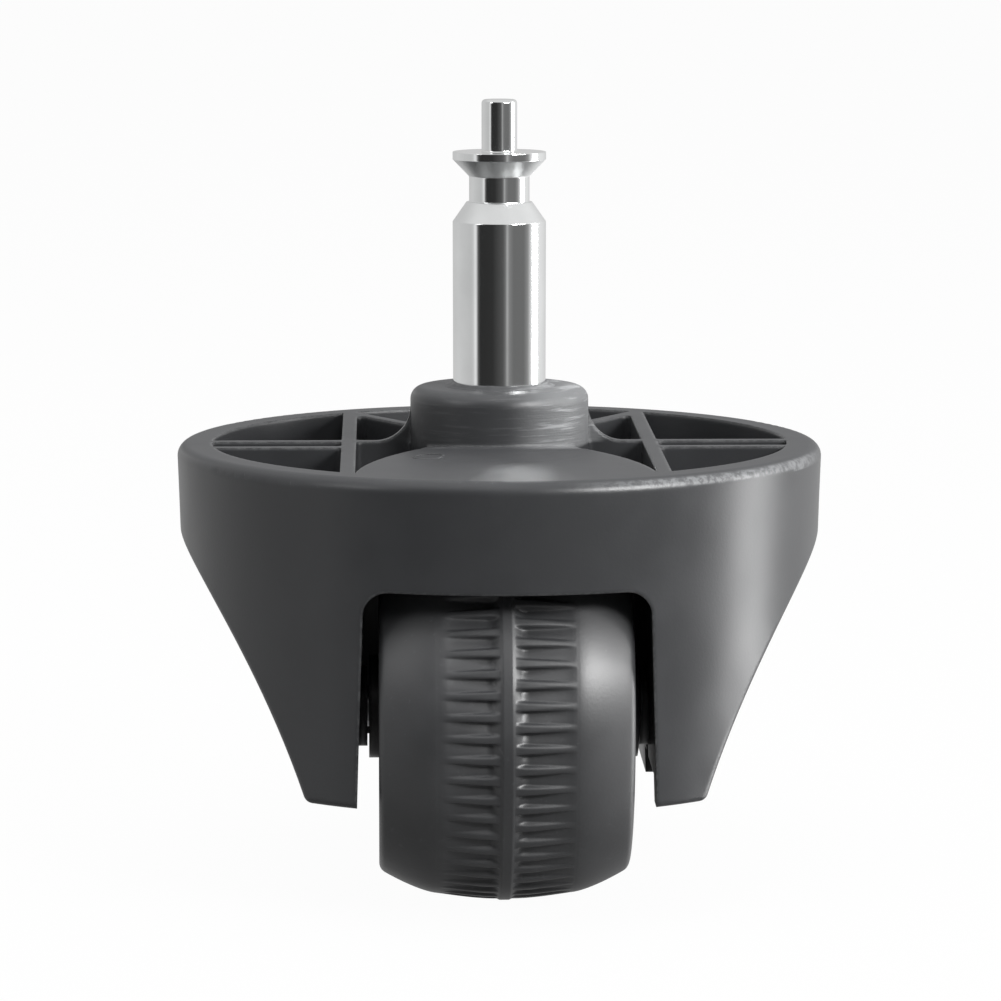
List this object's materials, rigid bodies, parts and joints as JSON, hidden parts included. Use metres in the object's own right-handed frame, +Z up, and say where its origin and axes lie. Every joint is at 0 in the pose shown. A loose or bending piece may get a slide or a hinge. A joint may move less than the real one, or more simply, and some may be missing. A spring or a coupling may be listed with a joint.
{
  "type": "robot vacuum caster wheel",
  "caption": "Swivel caster for a robot vacuum: steel stem, ribbed plastic fork with a hooded wheel well, and a treaded wheel.",
  "frame": {"origin": "on the stem axis, where the stem stands on the hub's top face", "axes": "+Z up along the stem, +X along the axle to the right, -Y towards the trailing wheel"},
  "size_m": [0.0492, 0.0496, 0.0592],
  "materials": {
    "fork": "satin moulded",
    "stem": "polished turned steel",
    "axle": "ground",
    "wheel_core": "moulded",
    "tyre": "matt moulded rubber"
  },
  "bodies": {
    "fork_body": {"fork": "fork", "stem": "stem", "axle": "axle"},
    "wheel": {"wheel_core": "wheel_core", "tyre": "tyre"}
  },
  "joints": [
    {"name": "wheel_spin", "type": "hinge", "parent": "fork_body", "child": "wheel", "pos_m": [0, -0.01046, -0.02292], "axis": [1, 0, 0], "continuous": true}
  ]
}
